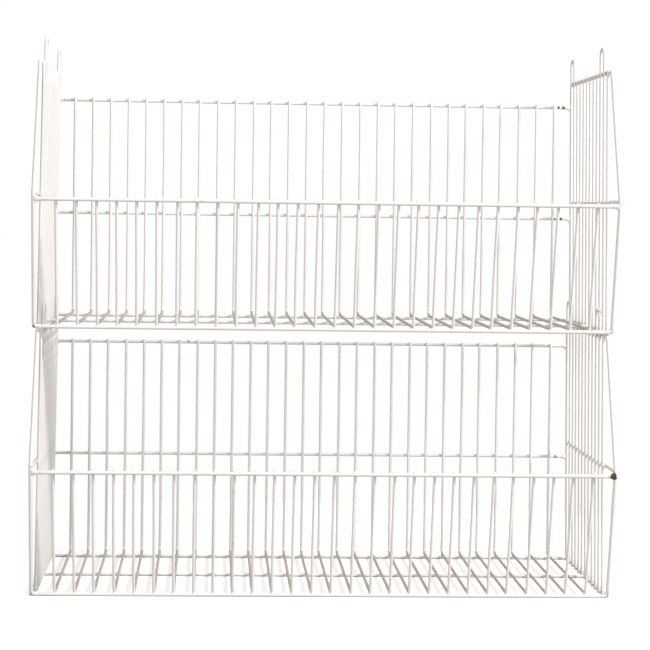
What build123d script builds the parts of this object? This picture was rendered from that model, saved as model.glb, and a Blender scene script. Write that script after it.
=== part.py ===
from build123d import *
import os
from math import asin, atan2, cos, hypot, sin, sqrt

# Two stacking wire baskets with open hopper fronts, the upper one standing on the lower one.
# Every piece is a round steel wire, spot welded where it crosses or butts against another.
# Millimetres. +Z is up and the front faces -Y. The model is drawn about the base front rail
# (x = 0 mid width, y = 0 and z = 0 on that rail's axis) and moved to its origin at the end,
# which is the centre of the footprint, on the floor.

# Mesh
PITCH = 30.0                # between neighbouring mesh wires
MESH_WIRES = 28             # bent wires that make the back, the floor and the front
MESH_DIAMETER = 4.5
WIRES_PER_NODE = 2

# Rails and rods
FRAME_DIAMETER = 6.0        # side frames, front top rail, base front rail
RAIL_DIAMETER = 5.0         # back rails, side mid rails, floor rods
WELD_SINK = 0.1             # how far crossing wires sink into each other at a weld

# Side frame outline, seen from the side
DEPTH = 375.0               # base front rail to rear post
SIDE_HEIGHT = 399.5         # bottom run to top run
VERTEX_Y = -63.5            # the front leans out to this vertex
VERTEX_HEIGHT = 199.5
TOP_FRONT_Y = 8.0           # where the top run begins
FRAME_BEND = 10.0
VERTEX_CUT = 0.5            # how far the bend passes inside the vertex
END_PANEL_GAP = 5.0         # from the place of the next mesh wire out to the side frame
LEAN = 5.0                  # how far the top of a side panel leans in

# Rail and rod places
FRONT_RAIL_HEIGHT = 192.5
BACK_TOP_HEIGHT = 360.0
BACK_MID_HEIGHT = 171.0
SIDE_MID_HEIGHT = VERTEX_HEIGHT
FLOOR_ROD_YS = {"mid": 177.5, "rear": 355.0}

# Mesh wire bends and ends
BACK_BEND = 13.0
FRONT_BEND = 6.0
FRONT_BEND_Y = 0.2          # corner of the wire, straight above the base front rail
TIP = 4.5                   # the wire's ends stand this far past the axis of the top rails

# Side wires and stacking loops
SIDE_WIRE_YS = [15.0, 105.0, 135.0, 165.0, 195.0, 225.0, 255.0, 285.0]
SIDE_WIRE_TIP = 2.0         # past the axes of the bottom and top runs
LOOP_LEG_YS = {"front": (45.0, 75.0), "rear": (315.0, 345.0)}
LOOP_RISE = 40.0            # top of a loop above the top run
LOOP_BEND = 12.0

# Stack
REST_GAP = 0.3              # upper floor rods above the lower top runs
STACK_PITCH = SIDE_HEIGHT + FRAME_DIAMETER + REST_GAP

HALF_WIDTH = (MESH_WIRES + 1) * PITCH / 2 + END_PANEL_GAP
LEAN_ANGLE = atan2(LEAN, SIDE_HEIGHT)
FLOOR_ROD_Z = (RAIL_DIAMETER - FRAME_DIAMETER) / 2
MESH_ON_RAIL = (MESH_DIAMETER + RAIL_DIAMETER) / 2 - WELD_SINK
MESH_ON_FRAME = (MESH_DIAMETER + FRAME_DIAMETER) / 2 - WELD_SINK
FLOOR_Z = FLOOR_ROD_Z + MESH_ON_RAIL
FRONT_RAIL_Y = VERTEX_Y * FRONT_RAIL_HEIGHT / VERTEX_HEIGHT


def bent_wire(points, diameter, bends=None):
    """A round wire along straight runs, with one bend radius for each corner."""
    path = FilletPolyline(*points, radius=bends) if bends else Line(*points)
    section = Plane(origin=path @ 0, z_dir=path % 0) * Circle(diameter / 2)
    return sweep(section, path=path)


def ring_wire(points, diameter, bend):
    """A closed round wire: straight runs joined by equal bends."""
    path = FilletPolyline(*points, radius=bend, close=True)
    section = Plane(origin=path @ 0, z_dir=path % 0) * Circle(diameter / 2)
    return sweep(section, path=path)


def on_panel(side, y, up, inward=0.0):
    """A point of a leaning side panel: up along the panel, inward square to it."""
    x = HALF_WIDTH - up * sin(LEAN_ANGLE) - inward * cos(LEAN_ANGLE)
    z = up * cos(LEAN_ANGLE) - inward * sin(LEAN_ANGLE)
    return Vector(side * x, y, z)


def cross_rail(y, z, diameter):
    """A straight wire across the basket that butts against the inside of both side frames."""
    reach = on_panel(1, y, z).X - FRAME_DIAMETER / 2 + WELD_SINK
    return bent_wire([(-reach, y, z), (reach, y, z)], diameter)


def mesh_wire(x):
    """One wire bent twice: down the back, forward over the floor rods, and up the front.

    The front run touches the inside of the front top rail, so it is a tangent to it.
    """
    rise = FRONT_RAIL_HEIGHT - FLOOR_Z
    reach = FRONT_RAIL_Y - FRONT_BEND_Y
    front_angle = atan2(rise, reach) - asin(MESH_ON_FRAME / hypot(rise, reach))
    front_length = sqrt(rise**2 + reach**2 - MESH_ON_FRAME**2) + TIP
    front_tip = (
        x,
        FRONT_BEND_Y + front_length * cos(front_angle),
        FLOOR_Z + front_length * sin(front_angle),
    )
    back_y = DEPTH - MESH_ON_RAIL
    back_tip = (x, back_y, BACK_TOP_HEIGHT + TIP)
    points = [back_tip, (x, back_y, FLOOR_Z), (x, FRONT_BEND_Y, FLOOR_Z), front_tip]
    return bent_wire(points, MESH_DIAMETER, [BACK_BEND, FRONT_BEND])


def side_frame(side):
    """The five-sided ring that ends the basket at the left or at the right."""
    corners = [
        (0.0, 0.0),
        (VERTEX_Y, VERTEX_HEIGHT),
        (TOP_FRONT_Y, SIDE_HEIGHT),
        (DEPTH, SIDE_HEIGHT),
        (DEPTH, 0.0),
    ]
    return ring_wire([on_panel(side, y, up) for y, up in corners], FRAME_DIAMETER, FRAME_BEND)


def side_mid_rail(side):
    """The rail from the front vertex to the rear post, flush with the side frame's inside."""
    butt = FRAME_DIAMETER / 2 - WELD_SINK
    inward = (FRAME_DIAMETER - RAIL_DIAMETER) / 2
    ends = [VERTEX_Y + VERTEX_CUT + butt, DEPTH - butt]
    return bent_wire([on_panel(side, y, SIDE_MID_HEIGHT, inward) for y in ends], RAIL_DIAMETER)


def side_wire(side, y):
    """A plain upright on the inside of the side frame."""
    ends = [-SIDE_WIRE_TIP, SIDE_HEIGHT + SIDE_WIRE_TIP]
    return bent_wire([on_panel(side, y, up, MESH_ON_FRAME) for up in ends], MESH_DIAMETER)


def stacking_loop(side, legs):
    """A hairpin whose legs are side wires and whose arch stands above the top run."""
    front, rear = legs
    arch = SIDE_HEIGHT + LOOP_RISE - MESH_DIAMETER / 2
    outline = [(front, -SIDE_WIRE_TIP), (front, arch), (rear, arch), (rear, -SIDE_WIRE_TIP)]
    points = [on_panel(side, y, up, MESH_ON_FRAME) for y, up in outline]
    return bent_wire(points, MESH_DIAMETER, [LOOP_BEND, LOOP_BEND])


def basket():
    """Every node of one basket, as a list of solids each."""
    nodes = {}
    first_x = -(MESH_WIRES - 1) * PITCH / 2
    for number in range(MESH_WIRES // WIRES_PER_NODE):
        xs = [first_x + (number * WIRES_PER_NODE + wire) * PITCH for wire in range(WIRES_PER_NODE)]
        nodes[f"mesh_wires_{number + 1:02d}"] = [mesh_wire(x) for x in xs]

    nodes["back_top_rail"] = [cross_rail(DEPTH, BACK_TOP_HEIGHT, RAIL_DIAMETER)]
    nodes["back_mid_rail"] = [cross_rail(DEPTH, BACK_MID_HEIGHT, RAIL_DIAMETER)]
    nodes["front_top_rail"] = [cross_rail(FRONT_RAIL_Y, FRONT_RAIL_HEIGHT, FRAME_DIAMETER)]
    nodes["base_front_rail"] = [cross_rail(0.0, 0.0, FRAME_DIAMETER)]
    for place, y in FLOOR_ROD_YS.items():
        nodes[f"floor_{place}_rod"] = [cross_rail(y, FLOOR_ROD_Z, RAIL_DIAMETER)]

    for name, side in (("left", -1), ("right", 1)):
        nodes[f"{name}_frame"] = [side_frame(side)]
        nodes[f"{name}_mid_rail"] = [side_mid_rail(side)]
        nodes[f"{name}_side_wires"] = [side_wire(side, y) for y in SIDE_WIRE_YS]
        for place, legs in LOOP_LEG_YS.items():
            nodes[f"{name}_{place}_loop"] = [stacking_loop(side, legs)]
    return nodes


def stack():
    """Both baskets, at the origin of the finished part."""
    placed = {}
    for level, height in (("lower", 0.0), ("upper", STACK_PITCH)):
        for name, solids in basket().items():
            placed[f"{level}_{name}"] = Pos(0, 0, height) * Compound(solids)
    box = Compound(list(placed.values())).bounding_box()
    to_origin = Pos(-box.center().X, -box.center().Y, -box.min.Z)
    return {name: to_origin * node for name, node in placed.items()}


os.makedirs("parts", exist_ok=True)
for node_name, node in stack().items():
    export_step(node, f"parts/{node_name}.step")
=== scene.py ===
"""Two white dip-coated stacking wire baskets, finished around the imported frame.

The file is laid out as a Blender add-on: a panel lists one operator for each group of wires and
one for the stage. Everything is in metres, in the frame's own axes: the front faces -Y.
"""
import functools
import math
import random

import bmesh
import bpy
from bpy.props import FloatProperty, FloatVectorProperty, IntProperty, PointerProperty
from mathutils import Color, Matrix, Vector


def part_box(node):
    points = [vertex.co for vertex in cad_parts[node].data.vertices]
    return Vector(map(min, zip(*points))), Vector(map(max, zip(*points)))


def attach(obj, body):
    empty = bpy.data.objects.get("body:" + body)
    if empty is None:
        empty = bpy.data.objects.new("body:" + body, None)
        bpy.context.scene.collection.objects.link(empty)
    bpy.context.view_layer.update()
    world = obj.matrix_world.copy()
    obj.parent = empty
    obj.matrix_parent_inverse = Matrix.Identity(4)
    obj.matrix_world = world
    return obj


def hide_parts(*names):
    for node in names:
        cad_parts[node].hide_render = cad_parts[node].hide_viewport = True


bl_info = {
    "name": "Stacking Wire Basket Finish",
    "version": (1, 0, 0),
    "blender": (4, 5, 0),
    "location": "3D View > Sidebar > Wire Basket",
    "description": "Rebuilds a stack of welded wire baskets with a dipped white coat",
    "category": "Object",
}

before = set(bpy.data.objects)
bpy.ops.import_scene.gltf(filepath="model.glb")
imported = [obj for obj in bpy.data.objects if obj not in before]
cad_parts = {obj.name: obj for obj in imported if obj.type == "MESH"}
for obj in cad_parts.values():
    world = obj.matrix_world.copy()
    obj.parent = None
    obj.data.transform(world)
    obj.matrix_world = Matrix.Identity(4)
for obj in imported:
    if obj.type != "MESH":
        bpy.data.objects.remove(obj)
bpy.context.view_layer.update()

LEVELS = ("lower", "upper")
SIDES = {"left": -1, "right": 1}
CROSS_RAILS = (
    "back_top_rail",
    "back_mid_rail",
    "front_top_rail",
    "base_front_rail",
    "floor_mid_rod",
    "floor_rear_rod",
)
PLAIN_UPRIGHTS = "side_wires"
LOOPS = ("front_loop", "rear_loop")
MM = 0.001
# Painted shade along the right frames' top runs deepens over the same length.
DIRT_AND_SHADE_FADE = 12 * MM          # dirt deepens over this length, from its place towards the back


# ---------------------------------------------------------------- settings

class BasketWireSettings(bpy.types.PropertyGroup):
    """How the wires are bent, cut and welded."""

    front_bend: FloatProperty(
        name="Front bend", description="Bend radius of a mesh wire at the front of the floor",
        default=6 * MM, unit="LENGTH",
    )
    back_bend: FloatProperty(
        name="Back bend", description="Bend radius of a mesh wire at the back of the floor",
        default=9 * MM, unit="LENGTH",
    )
    frame_bend: FloatProperty(
        name="Frame bend", description="Bend radius at each corner of a side frame",
        default=10 * MM, unit="LENGTH",
    )
    loop_bend: FloatProperty(
        name="Loop bend", description="Bend radius of a stacking loop",
        default=12 * MM, unit="LENGTH",
    )
    tip: FloatProperty(
        name="Tip", description="How far a mesh wire stands past the axis of the front top rail",
        default=3.2 * MM, unit="LENGTH",
    )
    weld_sink: FloatProperty(
        name="Weld sink", description="How far crossing wires sink into each other",
        default=0.1 * MM, unit="LENGTH",
    )
    front_corner: FloatProperty(
        name="Front corner", description="Mesh wire's front corner, behind the base front rail's axis",
        default=0.2 * MM, unit="LENGTH",
    )
    top_setback: FloatProperty(
        name="Top setback", description="Start of a side frame's top run, behind the base front rail",
        default=8 * MM, unit="LENGTH",
    )
    ring_step: FloatProperty(
        name="Ring step", description="Distance between the rings of a straight run",
        default=28 * MM, unit="LENGTH",
    )
    ring_sides: IntProperty(
        name="Ring sides", description="Number of sides round a wire", default=12, min=6,
    )


class BasketCoatSettings(bpy.types.PropertyGroup):
    """Colours of the dipped coat, of what shows where it has come off, and of the painted shade and
    shadows on it.
    """

    coat: FloatVectorProperty(
        name="Coat", description="Clean coat", subtype="COLOR", default=(0.785, 0.76, 0.737),
    )
    yellowed: FloatVectorProperty(
        name="Yellowed", description="Aged coat", subtype="COLOR", default=(0.74, 0.70, 0.65),
    )
    # Grime also colours the painted shade along the right frames' top runs.
    grime_and_shade: FloatVectorProperty(
        name="Grime", description="Dirt rubbed into the coat", subtype="COLOR",
        default=(0.56, 0.455, 0.38),
    )
    # The darkest colour also paints the shade along the right frames' top runs.
    dark_grime_and_shade: FloatVectorProperty(
        name="Dark grime", description="The darkest of the dirt", subtype="COLOR",
        default=(0.35, 0.27, 0.21),
    )
    roughness: FloatProperty(
        name="Roughness", description="Roughness of the clean coat", subtype="FACTOR",
        default=0.32, min=0.0, max=1.0,
    )
    # Rust and steel also colour the dark dashes painted as shadows on the back rails.
    rust: FloatVectorProperty(
        name="Rust", description="Rusted steel under a chip", subtype="COLOR",
        default=(0.16, 0.06, 0.02),
    )
    steel: FloatVectorProperty(
        name="Steel", description="Bare dark steel in a scuff", subtype="COLOR",
        default=(0.05, 0.042, 0.036),
    )


class BasketWearSettings(bpy.types.PropertyGroup):
    """How far a used basket is from a straight one."""

    seed: IntProperty(name="Seed", description="Start of the random wear", default=7)
    shift: FloatProperty(
        name="Shift", description="Spread of a wire's place along its rails",
        default=0.35 * MM, unit="LENGTH",
    )
    bow: FloatProperty(
        name="Bow", description="Spread of a wire's bow between two welds",
        default=0.22 * MM, unit="LENGTH",
    )
    bead: FloatProperty(
        name="Weld bead", description="Radius of the coat gathered at a crossing weld",
        default=2.7 * MM, unit="LENGTH",
    )
    web_length: FloatProperty(
        name="Web length", description="Length of the coat web where a rail butts against a frame",
        default=8 * MM, unit="LENGTH",
    )
    web_droop: FloatProperty(
        name="Web droop", description="How far the web has run down along the frame",
        default=2 * MM, unit="LENGTH",
    )
    web_reach: FloatProperty(
        name="Web reach", description="How far the web runs along the frame from the rail's axis",
        default=7 * MM, unit="LENGTH",
    )


class BasketStageSettings(bpy.types.PropertyGroup):
    """Camera, floor and light."""

    camera_place: FloatVectorProperty(
        name="Camera place", description="Where the camera stands", subtype="TRANSLATION",
        unit="LENGTH", default=(-0.173, -3.369, 0.596),
    )
    camera_yaw: FloatProperty(
        name="Camera yaw", description="Turn to the right of straight ahead", subtype="ANGLE",
        default=math.radians(3.06),
    )
    camera_pitch: FloatProperty(
        name="Camera pitch", description="Tilt above level", subtype="ANGLE",
        default=math.radians(-1.59),
    )
    camera_roll: FloatProperty(
        name="Camera roll", description="Turn about the line of sight", subtype="ANGLE",
        default=math.radians(0.80),
    )
    lens: FloatProperty(name="Lens", description="Focal length", unit="CAMERA", default=117.4)
    shift_down: FloatProperty(
        name="Shift", description="Shift of the view downwards, as a share of its width",
        default=0.0923,
    )
    floor: FloatVectorProperty(
        name="Floor", description="Colour of the floor", subtype="COLOR", default=(0.9, 0.9, 0.9),
    )
    floor_bounce: FloatVectorProperty(
        name="Floor bounce", description="Colour of the light that the floor throws back",
        subtype="COLOR", default=(0.42, 0.41, 0.395),
    )
    key_power: FloatProperty(
        name="Key", description="Power of the front light", subtype="POWER", default=185.0,
    )
    fill_power: FloatProperty(
        name="Fill", description="Power of the light beside the camera", subtype="POWER", default=40.0,
    )
    top_power: FloatProperty(
        name="Top", description="Power of the light overhead", subtype="POWER", default=22.0,
    )
    ambient: FloatProperty(
        name="Ambient", description="Strength of the light from all round", default=0.42,
    )
    backdrop: FloatProperty(
        name="Backdrop", description="Brightness of the backdrop as the camera sees it", default=1.0,
    )
    floor_glow: FloatProperty(
        name="Floor glow", description="Light given off by the floor", default=0.32,
    )


# ---------------------------------------------------------------- measures read from the frame

class Basket:
    """Axes, radii and places of one basket's wires, read from its CAD nodes."""

    def __init__(self, level):
        self.level = level
        self.body = f"{level}_basket"
        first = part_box(self.node("mesh_wires_01"))
        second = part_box(self.node("mesh_wires_02"))
        self.pitch = (second[0].x - first[0].x) / 2
        self.mesh_radius = (first[1].x - first[0].x - self.pitch) / 2
        self.floor_z = first[0].z + self.mesh_radius
        self.back_y = first[1].y - self.mesh_radius
        self.back_top_z = first[1].z

        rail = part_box(self.node("base_front_rail"))
        self.frame_radius = (rail[1].z - rail[0].z) / 2
        self.base = (rail[0] + rail[1]) / 2
        self.front_top = self.middle("front_top_rail")
        self.back_top = self.middle("back_top_rail")
        self.back_mid = self.middle("back_mid_rail")
        self.rods = [self.middle("floor_mid_rod"), self.middle("floor_rear_rod")]
        self.rail_radius = self.radius("back_top_rail")

        low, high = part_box(self.node("right_frame"))
        self.bottom_x = high.x - self.frame_radius
        self.top_x = low.x + self.frame_radius
        self.front_y = low.y + self.frame_radius
        self.rear_y = high.y - self.frame_radius
        self.panel_height = high.z - low.z - 2 * self.frame_radius
        self.lean = math.atan2(self.bottom_x - self.top_x, self.panel_height)
        self.vertex_up = self.middle("right_mid_rail").z - self.base.z

    def node(self, name):
        return f"{self.level}_{name}"

    def middle(self, name):
        low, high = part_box(self.node(name))
        return (low + high) / 2

    def radius(self, name):
        low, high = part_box(self.node(name))
        return (high.z - low.z) / 2

    def on_panel(self, side, y, up, inward=0.0):
        """A point of a leaning side panel: up along the panel, inward square to it."""
        x = self.bottom_x - up * math.sin(self.lean) - inward * math.cos(self.lean)
        z = self.base.z + up * math.cos(self.lean) - inward * math.sin(self.lean)
        return Vector((side * x, y, z))

    def vertex_y(self, wires):
        """The sharp corner at the front of a side frame, which its bend cuts off."""
        low_run = math.atan2(self.base.y - self.front_y, self.vertex_up)
        rise = self.panel_height - self.vertex_up
        high_run = math.atan2(self.base.y + wires.top_setback - self.front_y, rise)
        half = (low_run + high_run) / 2
        return self.front_y - wires.frame_bend * (1 / math.cos(half) - 1)

    def upright_tip(self, side_name):
        """How far the side wires stand past the axes of the side frame's runs."""
        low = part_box(self.node(f"{side_name}_{PLAIN_UPRIGHTS}"))[0]
        return self.base.z - low.z

    def mesh_xs(self):
        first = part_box(self.node("mesh_wires_01"))[0].x + self.mesh_radius
        return [first + number * self.pitch for number in range(round(-2 * first / self.pitch) + 1)]

    def mesh_crossings(self, wires):
        """Every rail that a mesh wire is welded to, with the way from its axis to the wire."""
        heading = self.front_run(wires)[1]
        up = Vector((0, 0, 1))
        behind = Vector((0, heading.z, -heading.y))
        return [
            (self.back_top, Vector((0, -1, 0))),
            (self.back_mid, Vector((0, -1, 0))),
            (self.front_top, behind),
            (self.base, up),
            (self.rods[0], up),
            (self.rods[1], up),
        ]

    def mesh_inset(self, wires):
        """From a side frame's plane to the axis of the wires on its inside."""
        return self.mesh_radius + self.frame_radius - wires.weld_sink

    def upright_ys(self, side_name):
        """The places of the plain side wires, which leave out those taken by the loops."""
        low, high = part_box(self.node(f"{side_name}_{PLAIN_UPRIGHTS}"))
        loops = [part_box(self.node(f"{side_name}_{loop}")) for loop in LOOPS]
        start = low.y + self.mesh_radius
        count = round((high.y - low.y - 2 * self.mesh_radius) / self.pitch) + 1
        places = [start + number * self.pitch for number in range(count)]
        return [y for y in places if not any(a.y < y < b.y for a, b in loops)]

    def loop_ys(self, side_name, loop):
        low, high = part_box(self.node(f"{side_name}_{loop}"))
        return low.y + self.mesh_radius, high.y - self.mesh_radius

    def loop_up(self, side_name, loop):
        """How far along the panel a loop's arch stands."""
        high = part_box(self.node(f"{side_name}_{loop}"))[1]
        return (high.z - self.mesh_radius - self.base.z) / math.cos(self.lean)

    def front_run(self, wires):
        """Corner, direction and length of a mesh wire's front run, in the YZ plane."""
        corner = Vector((0, self.base.y + wires.front_corner, self.floor_z))
        to_rail = Vector((0, self.front_top.y, self.front_top.z)) - corner
        offset = self.mesh_inset(wires)
        angle = math.atan2(to_rail.z, to_rail.y) - math.asin(offset / to_rail.length)
        heading = Vector((0, math.cos(angle), math.sin(angle)))
        return corner, heading, math.sqrt(to_rail.length_squared - offset**2) + wires.tip


# ---------------------------------------------------------------- wire drawing

CAP_RINGS = ((0.45, 0.0), (0.85, 0.22), (1.0, 0.6))
BEND_STEP = math.radians(15)
WEB_RINGS = 7
WEB_FLARE = 2.4                 # power by which a web widens: most of it close to the frame
WEB_COLLAR = 1.03               # a web's thin end, as a share of the rail's radius
BEAD_SIZES = (0.9, 1.12)        # smallest and largest bead, as shares of the bead radius
BEAD_FLATNESS = 0.62


class Wire:
    """A round wire drawn ring by ring: straight runs, bends and rounded cut ends."""

    def __init__(self, bm, start, heading, radius, wires, closed=False):
        self.bm = bm
        self.wires = wires
        self.radius = radius
        self.at = Vector(start)
        self.heading = Vector(heading).normalized()
        share = 1.0 if closed else CAP_RINGS[0][0]
        turn = self.heading.to_track_quat("Z", "Y").to_matrix().to_4x4()
        ring = bmesh.ops.create_circle(
            bm, cap_ends=not closed, segments=wires.ring_sides, radius=radius * share,
            matrix=Matrix.Translation(self.at) @ turn,
        )
        self.edges = list({edge for vert in ring["verts"] for edge in vert.link_edges})
        if not closed:
            for (before, low), (after, high) in zip(CAP_RINGS, CAP_RINGS[1:]):
                self.step((high - low) * radius, after / before)

    def step(self, length, widen=1.0):
        """One more ring, further along and wider or narrower."""
        made = bmesh.ops.extrude_edge_only(self.bm, edges=self.edges)["geom"]
        verts = [part for part in made if isinstance(part, bmesh.types.BMVert)]
        self.at = self.at + self.heading * length
        bmesh.ops.translate(self.bm, verts=verts, vec=self.heading * length)
        if widen != 1.0:
            around = Matrix.Translation(-self.at)
            bmesh.ops.scale(self.bm, verts=verts, vec=(widen,) * 3, space=around)
        ring = set(verts)
        self.edges = [
            part for part in made
            if isinstance(part, bmesh.types.BMEdge) and ring.issuperset(part.verts)
        ]

    def run(self, length):
        count = max(1, round(length / self.wires.ring_step))
        for _ in range(count):
            self.step(length / count)

    def bend(self, towards, radius):
        """Turns the heading towards another, about a bend of that radius."""
        angle = self.heading.angle(towards)
        axis = self.heading.cross(towards).normalized()
        centre = self.at + axis.cross(self.heading) * radius
        made = bmesh.ops.spin(
            self.bm, geom=self.edges, cent=centre, axis=axis, angle=angle,
            steps=max(2, round(angle / BEND_STEP)),
        )["geom_last"]
        self.edges = [part for part in made if isinstance(part, bmesh.types.BMEdge)]
        self.at = centre + Matrix.Rotation(angle, 3, axis) @ (self.at - centre)
        self.heading = Vector(towards).normalized()

    def cut(self):
        """Rounds the end off and closes it."""
        for (before, low), (after, high) in zip(CAP_RINGS[::-1], CAP_RINGS[-2::-1]):
            self.step((low - high) * self.radius, after / before)
        bmesh.ops.edgeloop_fill(self.bm, edges=self.edges)


def tangent(before, corner, after, radius):
    """How far from the corner a bend of that radius begins."""
    turn = (corner - before).angle(after - corner)
    return radius * math.tan(turn / 2)


def draw_wire(bm, points, radius, bend, wires, closed=False):
    """Adds a wire along straight runs joined by bends: one radius each, or the same for all.

    A closed wire starts and ends half way along its last run.
    """
    points = [Vector(point) for point in points]
    if closed:
        middle = (points[-1] + points[0]) / 2
        points = [middle, *points, middle]
    bends = list(bend) if isinstance(bend, (list, tuple)) else [bend] * (len(points) - 2)
    cuts = [tangent(a, b, c, r) for a, b, c, r in zip(points, points[1:], points[2:], bends)]
    cuts = [0.0, *cuts, 0.0]
    cap = 0.0 if closed else CAP_RINGS[-1][1] * radius

    wire = Wire(bm, points[0], points[1] - points[0], radius, wires, closed)
    last = len(points) - 2
    for number, (here, there) in enumerate(zip(points, points[1:])):
        length = (there - here).length - cuts[number] - cuts[number + 1]
        length -= cap * ((number == 0) + (number == last))
        wire.run(length)
        if number < last:
            wire.bend(points[number + 2] - there, bends[number])
    if not closed:
        wire.cut()


def draw_web(bm, end, heading, along, radius, depth, reach, droop, wear, wires):
    """The coat gathered where a rail butts against a frame: a collar that widens into the joint.

    heading points from the rail into the frame, and along is the frame wire's own direction. The
    collar goes that depth into the frame, reaches that far along it, and droops against along.
    """
    start = end - heading * wear.web_length
    across = heading.cross(along).normalized()
    turn = Matrix((across, along, heading)).transposed().to_4x4()
    collar = radius * WEB_COLLAR
    sections = []
    for number in range(WEB_RINGS):
        gone = number / (WEB_RINGS - 1)
        spread = gone**WEB_FLARE
        place = start + heading * (wear.web_length + depth) * gone - along * droop * spread
        flat = Matrix.Diagonal((collar, collar + (reach - radius) * spread, 1.0, 1.0))
        ring = bmesh.ops.create_circle(
            bm, segments=wires.ring_sides, radius=1.0,
            matrix=Matrix.Translation(place) @ turn @ flat,
        )
        sections.append(list({edge for vert in ring["verts"] for edge in vert.link_edges}))
    for before, after in zip(sections, sections[1:]):
        bmesh.ops.bridge_loops(bm, edges=before + after)
    bmesh.ops.edgeloop_fill(bm, edges=sections[0])
    bmesh.ops.edgeloop_fill(bm, edges=sections[-1])


def draw_bead(bm, place, normal, wear, chance):
    """The coat gathered in the corners of a crossing weld."""
    size = wear.bead * chance.uniform(*BEAD_SIZES)
    turn = normal.to_track_quat("Z", "Y").to_matrix().to_4x4()
    flat = Matrix.Diagonal((1.0, 1.0, BEAD_FLATNESS, 1.0))
    bmesh.ops.create_uvsphere(
        bm, u_segments=8, v_segments=5, radius=size,
        matrix=Matrix.Translation(place) @ turn @ flat,
    )


def gather(bm, part):
    """Adds a small bmesh to a large one, which is quicker than drawing each shape in the large one."""
    mesh = bpy.data.meshes.new("part")
    part.to_mesh(mesh)
    part.free()
    bm.from_mesh(mesh)
    bpy.data.meshes.remove(mesh)


def finish_piece(bm, name, basket, material, replaced=()):
    """Turns a bmesh into a smooth piece that rides on its basket and stands for CAD nodes."""
    bmesh.ops.remove_doubles(bm, verts=bm.verts, dist=0.01 * MM)
    bmesh.ops.recalc_face_normals(bm, faces=bm.faces)
    for face in bm.faces:
        face.smooth = True
    mesh = bpy.data.meshes.new(name)
    bm.to_mesh(mesh)
    bm.free()
    mesh.materials.append(material)
    piece = bpy.data.objects.new(name, mesh)
    bpy.context.scene.collection.objects.link(piece)
    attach(piece, basket.body)
    if replaced:
        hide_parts(*replaced)


def bowed(verts, spans, sideways, chance, wear):
    """Moves a wire sideways by a small shift, and bows it between the welds in spans.

    spans are (axis, low, high): the wire is bowed as a half wave over that part of an axis.
    """
    shift = chance.gauss(0, wear.shift)
    waves = [(axis, low, high, chance.gauss(0, wear.bow)) for axis, low, high in spans]
    for vert in verts:
        move = shift
        for axis, low, high, height in waves:
            share = (vert.co[axis] - low) / (high - low)
            if 0 < share < 1:
                move += height * math.sin(math.pi * share)
        vert.co += sideways * move


# ---------------------------------------------------------------- shader maths

class Value:
    """A shader socket that takes part in Python expressions."""

    def __init__(self, tree, socket):
        self.tree = tree
        self.socket = socket

    def maths(self, operation, *others):
        return self.tree.node("ShaderNodeMath", {"operation": operation}, self, *others)

    def __add__(self, other):
        return self.maths("ADD", other)

    def __sub__(self, other):
        return self.maths("SUBTRACT", other)

    def __mul__(self, other):
        return self.maths("MULTIPLY", other)

    def __truediv__(self, other):
        return self.maths("DIVIDE", other)

    def __rsub__(self, other):
        return self.tree.node("ShaderNodeMath", {"operation": "SUBTRACT"}, other, self)

    __radd__ = __add__
    __rmul__ = __mul__

    def clamped(self):
        return self.tree.node("ShaderNodeMath", {"operation": "ADD", "use_clamp": True}, self, 0.0)

    def above(self, start, gain):
        """0 up to start, and from there rising by gain to 1."""
        return ((self - start) * gain).clamped()

    def larger(self, other):
        return self.maths("MAXIMUM", other)


class Tree:
    """The node tree of a material or a world."""

    def __init__(self, owner):
        owner.use_nodes = True
        self.nodes = owner.node_tree.nodes
        self.links = owner.node_tree.links

    def node(self, kind, settings, *values, output=0, **named):
        """Adds a node: its settings first, then the values or links of its sockets.

        The sockets are counted as the node shows them once it has its settings.
        """
        made = self.nodes.new(kind)
        for key, value in settings.items():
            setattr(made, key, value)
        shown = [socket for socket in made.inputs if socket.enabled]
        for socket, value in zip(shown, values):
            self.feed(socket, value)
        for key, value in named.items():
            self.feed(made.inputs[key], value)
        return Value(self, [socket for socket in made.outputs if socket.enabled][output])

    def feed(self, socket, value):
        if isinstance(value, Value):
            self.links.new(value.socket, socket)
        else:
            socket.default_value = (*value, 1.0) if isinstance(value, Color) else value

    def mix(self, share, first, second):
        """A mix of two colours."""
        return self.node("ShaderNodeMix", {"data_type": "RGBA"}, share, first, second)

    def noise(self, place, scale, detail=2.0):
        return self.node("ShaderNodeTexNoise", {}, Vector=place, Scale=scale, Detail=detail)

    def seen_or_felt(self, seen, felt, end):
        """Ends the tree with one shader for the camera and another for the light that is cast."""
        rays = self.node("ShaderNodeLightPath", {})
        self.feed(end.inputs["Surface"], self.node("ShaderNodeMixShader", {}, rays, felt, seen))


BROAD_SCALE = 9.0               # patches about a hand wide
RUB_SCALE, RUB_DETAIL = 52.0, 4.0
FINE_SCALE, FINE_DETAIL = 160.0, 3.0
MOTTLE_SCALE = 330.0
BEAD_YELLOWING = 0.45           # how much yellower the gathered coat is than the rest
CHIP_DEPTH = 0.15 * MM


def mark(tree, place, centre, stretch, radius):
    """How near a place is to a mark's middle: 1 there, 0 from its radius on.

    stretch is 1 along the axes that count and 0 along those that the mark runs along.
    """
    offset = tree.node("ShaderNodeVectorMath", {"operation": "SUBTRACT"}, place, tuple(centre))
    flat = tree.node("ShaderNodeVectorMath", {"operation": "MULTIPLY"}, offset, stretch)
    distance = tree.node("ShaderNodeVectorMath", {"operation": "LENGTH"}, flat)
    return (1.0 - distance / radius).clamped()


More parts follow.
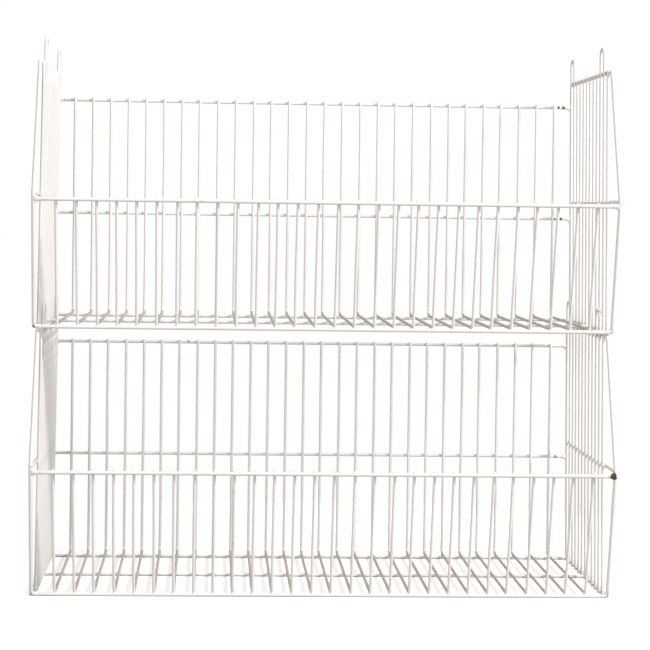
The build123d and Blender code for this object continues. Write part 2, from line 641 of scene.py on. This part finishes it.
def coat_material(name, baskets, kind):
    """Glossy white dip coat that is dirty in places, with painted shade along the right frames' top
    runs, broken down to rusty steel in spots, and dark dashes painted as shadows on the back rails.
    """
    coat = bpy.context.scene.basket_coat
    material = bpy.data.materials.new(name)
    tree = Tree(material)
    shader = tree.nodes["Principled BSDF"]
    place = tree.node("ShaderNodeTexCoord", {}, output=3)

    broad = tree.noise(place, BROAD_SCALE)
    fine = tree.noise(place, FINE_SCALE, FINE_DETAIL)
    mottle = tree.noise(place, MOTTLE_SCALE, FINE_DETAIL)
    aged = broad.above(0.42, 2.2) * 0.6
    if kind == "beads":
        aged = (aged + BEAD_YELLOWING).clamped()
    colour = tree.mix(aged, coat.coat, coat.yellowed)

    # Dirty patches at random, dirty bands along the mesh's floor, and painted shade along the right
    # frames' top runs.
    rub = tree.noise(place, RUB_SCALE, RUB_DETAIL)
    dirt_and_shade = rub.above(0.64, 12.0) * broad.above(0.35, 3.0) * 0.35
    behind = tree.node("ShaderNodeSeparateXYZ", {}, place, output=1)
    for centre, stretch, radius, strength in dirt_and_shade_places(baskets, kind):
        near = (mark(tree, place, centre, stretch, radius) * 4.0).clamped() * strength
        near = near * ((behind - centre.y) / DIRT_AND_SHADE_FADE).clamped()
        dirt_and_shade = dirt_and_shade.larger(near * (0.6 + mottle * 0.8))
    soil_and_shade = tree.mix(mottle.above(0.38, 4.0), coat.dark_grime_and_shade, coat.grime_and_shade)
    colour = tree.mix(dirt_and_shade.clamped(), colour, soil_and_shade)

    # Spots where the coat has come off, and dark dashes painted as shadows of the right side wires on
    # the back rails.
    chip_and_shadow_marks = []
    for centre, radius, strength in chip_and_shadow_places(baskets):
        nearness = mark(tree, place, centre, (1.0, 1.0, 1.0), radius)
        ragged = (nearness * strength + (fine - 0.5) * 1.6).clamped()
        chip_and_shadow_marks.append(ragged * (nearness * 6.0).clamped())
    chipped_and_shadowed = functools.reduce(Value.larger, chip_and_shadow_marks)
    bare_and_shadowed = chipped_and_shadowed.above(0.3, 5.0)
    colour = tree.mix((chipped_and_shadowed * 1.4).clamped() * 0.8, colour, coat.grime_and_shade)
    metal_and_shadow = tree.mix(mottle.above(0.45, 6.0), coat.steel, coat.rust)
    colour = tree.mix(bare_and_shadowed, colour, metal_and_shadow)
    tree.feed(shader.inputs["Base Color"], colour)
    tree.feed(shader.inputs["Roughness"], coat.roughness + (fine - 0.5) * 0.12 + bare_and_shadowed * 0.4)

    height = fine * 0.6 - bare_and_shadowed * 0.9
    bump = tree.node("ShaderNodeBump", {}, Strength=0.2, Distance=CHIP_DEPTH, Height=height)
    tree.feed(shader.inputs["Normal"], bump)
    return material


def dirt_and_shade_places(baskets, kind):
    """Where one kind of piece is darkened, as (middle, stretch, radius, strength): dirty along the
    mesh's floor, and painted shade along the right frames' top runs.
    """
    places = []
    for basket in baskets.values():
        front = Vector((0, basket.base.y, basket.floor_z))
        if kind == "mesh":
            places.append((front, (0.0, 0.0, 1.0), 5 * MM, 0.8))
        elif kind == "frame":
            # Painted shade: the right frame's top run is darkened along its length, because its inner
            # side is turned away from the key light.
            top = basket.on_panel(1, basket.base.y + 10 * MM, basket.panel_height)
            places.append((top, (1.0, 0.0, 1.0), 5.5 * MM, 1.0))
    return places


def chip_and_shadow_places(baskets):
    """Where the coat has come off, and where dark dashes are painted as shadows on the back rails:
    (middle, radius, strength).
    """
    lower, upper = baskets["lower"], baskets["upper"]

    def vertex(basket, side, drop):
        return basket.on_panel(side, basket.front_y, basket.vertex_up - drop * MM)

    # A point on a back rail's front near the right frame, for a painted shadow.
    def back(basket, middle, inward):
        return Vector((basket.bottom_x - inward * MM, middle.y - 2 * MM, middle.z))

    return [
        (vertex(lower, 1, 7) - Vector((3 * MM, 0, 0)), 7.5 * MM, 1.4),
        (vertex(lower, -1, 0), 4 * MM, 0.8),
        (vertex(upper, -1, -2) + Vector((2 * MM, 6 * MM, 0)), 4 * MM, 0.9),
        (upper.on_panel(-1, upper.base.y, 0.0), 4 * MM, 0.8),
        (lower.on_panel(1, lower.base.y, 0.0), 4 * MM, 0.6),
        # Painted shadows: two dark dashes on each back rail beside the right frame, where the right
        # side wires would cast them.
        (back(lower, lower.back_mid, 22), 6 * MM, 0.6),
        (back(lower, lower.back_mid, 34), 6 * MM, 0.55),
        (back(upper, upper.back_mid, 20), 6 * MM, 0.6),
        (back(upper, upper.back_mid, 31), 5 * MM, 0.6),
        (back(upper, upper.back_top, 18), 6 * MM, 0.65),
        (back(upper, upper.back_top, 27), 5 * MM, 0.65),
        (Vector((-211 * MM, lower.back_top.y - 1 * MM, lower.back_top.z + 2 * MM)), 4 * MM, 1.2),
    ]


# ---------------------------------------------------------------- operators

def on_each_basket(build):
    """Draws one group of wires on both baskets: build raises an error when it can't."""
    scene = bpy.context.scene
    for basket in baskets().values():
        build(basket, scene.basket_wires, scene.basket_wear)
    return {"FINISHED"}


def baskets():
    return {level: Basket(level) for level in LEVELS}


def coat(kind="frame"):
    """The coat of one kind of piece: frame, mesh or beads."""
    name = f"dipped_coat_on_{kind}"
    return bpy.data.materials.get(name) or coat_material(name, baskets(), kind)


def chance_of(level, kind, number):
    """Random numbers of one wire's own, the same each time they are asked for."""
    seed = bpy.context.scene.basket_wear.seed
    return random.Random(f"{seed} {level} {kind} {number}")


class BASKET_OT_mesh_wires(bpy.types.Operator):
    """Draw the wires that run down the back, along the floor and up the front"""

    bl_idname = "basket.mesh_wires"
    bl_label = "Mesh Wires"
    bl_options = {"REGISTER", "UNDO"}

    def execute(self, context):
        return on_each_basket(self.build)

    def build(self, basket, wires, wear):
        corner, heading, length = basket.front_run(wires)
        nodes = sorted(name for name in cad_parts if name.startswith(f"{basket.level}_mesh_wires"))
        for number, node in enumerate(nodes):
            bm = bmesh.new()
            low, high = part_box(node)
            for wire, x in enumerate((low.x + basket.mesh_radius, high.x - basket.mesh_radius)):
                before = set(bm.verts)
                across = Vector((x, 0, 0))
                points = [
                    Vector((x, basket.back_y, basket.back_top_z)),
                    Vector((x, basket.back_y, basket.floor_z)),
                    corner + across,
                    corner + across + heading * length,
                ]
                draw_wire(bm, points, basket.mesh_radius, [wires.back_bend, wires.front_bend], wires)
                spans = [
                    (2, basket.floor_z, basket.back_mid.z),
                    (2, basket.back_mid.z, basket.back_top.z),
                    (1, basket.base.y, basket.rods[0].y),
                    (1, basket.rods[0].y, basket.rods[1].y),
                ]
                chance = chance_of(basket.level, "mesh", 2 * number + wire)
                bowed(set(bm.verts) - before, spans, Vector((1, 0, 0)), chance, wear)
            finish_piece(bm, f"{node}_drawn", basket, coat("mesh"), [node])


class BASKET_OT_side_frames(bpy.types.Operator):
    """Draw the five-sided rings that end each basket on the left and on the right"""

    bl_idname = "basket.side_frames"
    bl_label = "Side Frames"
    bl_options = {"REGISTER", "UNDO"}

    def execute(self, context):
        return on_each_basket(self.build)

    def build(self, basket, wires, wear):
        for side_name, side in SIDES.items():
            bm = bmesh.new()
            corners = [
                (basket.base.y, 0.0),
                (basket.vertex_y(wires), basket.vertex_up),
                (basket.base.y + wires.top_setback, basket.panel_height),
                (basket.rear_y, basket.panel_height),
                (basket.rear_y, 0.0),
            ]
            points = [basket.on_panel(side, y, up) for y, up in corners]
            draw_wire(bm, points, basket.frame_radius, wires.frame_bend, wires, closed=True)
            node = basket.node(f"{side_name}_frame")
            finish_piece(bm, f"{node}_drawn", basket, coat(), [node])


class BASKET_OT_cross_rails(bpy.types.Operator):
    """Draw the straight rails and rods between the side frames, with the coat webs at their ends"""

    bl_idname = "basket.cross_rails"
    bl_label = "Cross Rails"
    bl_options = {"REGISTER", "UNDO"}

    def execute(self, context):
        return on_each_basket(self.build)

    def build(self, basket, wires, wear):
        post = Vector((0, 0, 1))
        bottom_run = Vector((0, 1, 0))
        front_run = Vector((0, basket.vertex_y(wires) - basket.base.y, basket.vertex_up)).normalized()
        # The frame wire that a rail butts against, the web's share of the reach, and its droop.
        # The base front rail's web creeps up, because the floor is right below it.
        webs = {
            "back_top_rail": (post, 1.0, wear.web_droop),
            "back_mid_rail": (post, 1.0, wear.web_droop),
            "front_top_rail": (front_run, 1.1, 0.0),
            "base_front_rail": (front_run, 0.6, -1.3 * MM),
            "floor_mid_rod": (bottom_run, 0.85, 0.0),
            "floor_rear_rod": (bottom_run, 0.85, 0.0),
        }
        for name in CROSS_RAILS:
            node = basket.node(name)
            low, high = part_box(node)
            radius = basket.radius(name)
            middle = basket.middle(name)
            along, share, droop = webs[name]
            ends = [Vector((x, middle.y, middle.z)) for x in (low.x, high.x)]
            bm = bmesh.new()
            draw_wire(bm, ends, radius, 0.0, wires)
            for end, heading in zip(ends, (Vector((-1, 0, 0)), Vector((1, 0, 0)))):
                draw_web(
                    bm, end, heading, along, radius, basket.frame_radius / 2,
                    wear.web_reach * share, droop, wear, wires,
                )
            finish_piece(bm, f"{node}_drawn", basket, coat(), [node])


class BASKET_OT_side_panels(bpy.types.Operator):
    """Draw the mid rails and the plain uprights of the side panels"""

    bl_idname = "basket.side_panels"
    bl_label = "Side Panels"
    bl_options = {"REGISTER", "UNDO"}

    def execute(self, context):
        return on_each_basket(self.build)

    def build(self, basket, wires, wear):
        inset = basket.mesh_inset(wires)
        tip = basket.upright_tip("right")
        for side_name, side in SIDES.items():
            node = basket.node(f"{side_name}_mid_rail")
            low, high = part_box(node)
            inward = basket.frame_radius - basket.rail_radius
            ends = [basket.on_panel(side, y, basket.vertex_up, inward) for y in (low.y, high.y)]
            bm = bmesh.new()
            draw_wire(bm, ends, basket.rail_radius, 0.0, wires)
            up = (basket.on_panel(side, 0, 1) - basket.on_panel(side, 0, 0)).normalized()
            back = Vector((0, 1, 0))
            for end, heading, share in ((ends[1], back, 0.9), (ends[0], -back, 0.8)):
                draw_web(
                    bm, end, heading, up, basket.rail_radius, basket.frame_radius / 2,
                    wear.web_reach * share, 0.0, wear, wires,
                )
            finish_piece(bm, f"{node}_drawn", basket, coat(), [node])

            bm = bmesh.new()
            for number, y in enumerate(basket.upright_ys(side_name)):
                before = set(bm.verts)
                reach = (-tip, basket.panel_height + tip)
                ends = [basket.on_panel(side, y, up, inset) for up in reach]
                draw_wire(bm, ends, basket.mesh_radius, 0.0, wires)
                spans = [
                    (2, basket.base.z, basket.base.z + basket.vertex_up),
                    (2, basket.base.z + basket.vertex_up, basket.base.z + basket.panel_height),
                ]
                chance = chance_of(basket.level, side_name, number)
                bowed(set(bm.verts) - before, spans, Vector((0, 1, 0)), chance, wear)
            node = basket.node(f"{side_name}_{PLAIN_UPRIGHTS}")
            finish_piece(bm, f"{node}_drawn", basket, coat(), [node])


class BASKET_OT_stacking_loops(bpy.types.Operator):
    """Draw the hairpins that stand above the side frames and hold the next basket"""

    bl_idname = "basket.stacking_loops"
    bl_label = "Stacking Loops"
    bl_options = {"REGISTER", "UNDO"}

    def execute(self, context):
        return on_each_basket(self.build)

    def build(self, basket, wires, wear):
        inset = basket.mesh_inset(wires)
        for side_name, side in SIDES.items():
            tip = basket.upright_tip(side_name)
            for loop in LOOPS:
                front, rear = basket.loop_ys(side_name, loop)
                arch = basket.loop_up(side_name, loop)
                outline = [(front, -tip), (front, arch), (rear, arch), (rear, -tip)]
                points = [basket.on_panel(side, y, up, inset) for y, up in outline]
                bm = bmesh.new()
                draw_wire(bm, points, basket.mesh_radius, wires.loop_bend, wires)
                node = basket.node(f"{side_name}_{loop}")
                finish_piece(bm, f"{node}_drawn", basket, coat(), [node])


class BASKET_OT_weld_beads(bpy.types.Operator):
    """Gather the coat in the corners of every crossing weld"""

    bl_idname = "basket.weld_beads"
    bl_label = "Weld Beads"
    bl_options = {"REGISTER", "UNDO"}

    def execute(self, context):
        return on_each_basket(self.build)

    def build(self, basket, wires, wear):
        bm = bmesh.new()
        for number, x in enumerate(basket.mesh_xs()):
            x += chance_of(basket.level, "mesh", number).gauss(0, wear.shift)
            chance = chance_of(basket.level, "mesh bead", number)
            part = bmesh.new()
            for rail, towards in basket.mesh_crossings(wires):
                place = Vector((x, rail.y, rail.z)) + towards * basket.rail_radius
                draw_bead(part, place, towards, wear, chance)
            gather(bm, part)
        inset = basket.mesh_inset(wires)
        for side_name, side in SIDES.items():
            inward = Vector((-side, 0, 0))
            legs = [y for loop in LOOPS for y in basket.loop_ys(side_name, loop)]
            plain = [
                y + chance_of(basket.level, side_name, number).gauss(0, wear.shift)
                for number, y in enumerate(basket.upright_ys(side_name))
            ]
            chance = chance_of(basket.level, "side bead", side)
            for y in plain + legs:
                part = bmesh.new()
                for up in (0.0, basket.vertex_up, basket.panel_height):
                    place = basket.on_panel(side, y, up, inset - basket.mesh_radius)
                    draw_bead(part, place, inward, wear, chance)
                gather(bm, part)
        finish_piece(bm, f"{basket.level}_weld_beads", basket, coat("beads"))


WHITE = Color((1.0, 1.0, 1.0))
FLOOR_RADIUS = 0.9
FLOOR_ROUGHNESS = 0.85
LIT_POINT = Vector((0, 0, 0.4))
LAMPS = {                       # place and size of each square lamp
    "key": (Vector((3.3, -2.0, 2.4)), 0.6),
    "fill": (Vector((-0.9, -3.4, 1.2)), 1.0),
    "top": (Vector((0.0, 0.3, 3.2)), 1.6),
}


class BASKET_OT_stage(bpy.types.Operator):
    """Set the camera, the pale floor and the soft lights"""

    bl_idname = "basket.stage"
    bl_label = "Stage"
    bl_options = {"REGISTER", "UNDO"}

    def execute(self, context):
        scene = context.scene
        stage = scene.basket_stage
        self.camera(scene, stage)
        self.floor(scene, stage)
        self.lights(scene, stage)
        return {"FINISHED"}

    def camera(self, scene, stage):
        yaw, pitch, roll = stage.camera_yaw, stage.camera_pitch, stage.camera_roll
        forward = Vector((
            math.sin(yaw) * math.cos(pitch), math.cos(yaw) * math.cos(pitch), math.sin(pitch)
        ))
        level = Vector((math.cos(yaw), -math.sin(yaw), 0))
        turned = Matrix.Rotation(-roll, 3, forward)
        right = turned @ level
        up = turned @ level.cross(forward)
        data = bpy.data.cameras.new("camera")
        data.lens = stage.lens
        data.shift_y = -stage.shift_down
        camera = bpy.data.objects.new("camera", data)
        scene.collection.objects.link(camera)
        axes = Matrix((right, up, -forward)).transposed().to_4x4()
        camera.matrix_world = Matrix.Translation(Vector(stage.camera_place)) @ axes
        scene.camera = camera

    def floor(self, scene, stage):
        bm = bmesh.new()
        bmesh.ops.create_circle(bm, cap_ends=True, segments=64, radius=FLOOR_RADIUS)
        mesh = bpy.data.meshes.new("floor")
        bm.to_mesh(mesh)
        bm.free()
        material = bpy.data.materials.new("pale_floor")
        tree = Tree(material)
        shader = tree.nodes["Principled BSDF"]
        tree.feed(shader.inputs["Base Color"], stage.floor)
        tree.feed(shader.inputs["Roughness"], FLOOR_ROUGHNESS)
        tree.feed(shader.inputs["Emission Color"], WHITE)
        tree.feed(shader.inputs["Emission Strength"], stage.floor_glow)
        felt = tree.node("ShaderNodeBsdfDiffuse", {}, stage.floor_bounce)
        tree.seen_or_felt(Value(tree, shader.outputs[0]), felt, tree.nodes["Material Output"])
        mesh.materials.append(material)
        floor = bpy.data.objects.new("floor", mesh)
        scene.collection.objects.link(floor)

    def lights(self, scene, stage):
        powers = {"key": stage.key_power, "fill": stage.fill_power, "top": stage.top_power}
        for name, (place, size) in LAMPS.items():
            data = bpy.data.lights.new(name, "AREA")
            data.energy = powers[name]
            data.size = size
            lamp = bpy.data.objects.new(name, data)
            scene.collection.objects.link(lamp)
            axes = (LIT_POINT - place).to_track_quat("-Z", "Y").to_matrix().to_4x4()
            lamp.matrix_world = Matrix.Translation(place) @ axes

        world = bpy.data.worlds.new("studio")
        scene.world = world
        tree = Tree(world)
        seen = tree.node("ShaderNodeBackground", {}, WHITE, stage.backdrop)
        felt = tree.node("ShaderNodeBackground", {}, WHITE, stage.ambient)
        tree.seen_or_felt(seen, felt, tree.nodes["World Output"])
        scene.view_settings.view_transform = "Standard"


OPERATORS = (
    BASKET_OT_mesh_wires,
    BASKET_OT_side_frames,
    BASKET_OT_cross_rails,
    BASKET_OT_side_panels,
    BASKET_OT_stacking_loops,
    BASKET_OT_weld_beads,
    BASKET_OT_stage,
)


class BASKET_PT_finish(bpy.types.Panel):
    """Lists the groups of wires and the stage"""

    bl_idname = "BASKET_PT_finish"
    bl_label = "Wire Basket"
    bl_space_type = "VIEW_3D"
    bl_region_type = "UI"
    bl_category = "Wire Basket"

    def draw(self, context):
        for operator in OPERATORS:
            self.layout.operator(operator.bl_idname)
        for group in SETTINGS:
            box = self.layout.box()
            for name in SETTINGS[group].__annotations__:
                box.prop(getattr(context.scene, group), name)


SETTINGS = {
    "basket_wires": BasketWireSettings,
    "basket_coat": BasketCoatSettings,
    "basket_wear": BasketWearSettings,
    "basket_stage": BasketStageSettings,
}


def register():
    for group, kind in SETTINGS.items():
        bpy.utils.register_class(kind)
        setattr(bpy.types.Scene, group, PointerProperty(type=kind))
    for kind in (*OPERATORS, BASKET_PT_finish):
        bpy.utils.register_class(kind)


def unregister():
    for kind in (BASKET_PT_finish, *reversed(OPERATORS)):
        bpy.utils.unregister_class(kind)
    for group, kind in SETTINGS.items():
        delattr(bpy.types.Scene, group)
        bpy.utils.unregister_class(kind)


def main():
    register()
    bpy.ops.basket.mesh_wires()
    bpy.ops.basket.side_frames()
    bpy.ops.basket.cross_rails()
    bpy.ops.basket.side_panels()
    bpy.ops.basket.stacking_loops()
    bpy.ops.basket.weld_beads()
    bpy.ops.basket.stage()


if __name__ == "__main__":
    main()
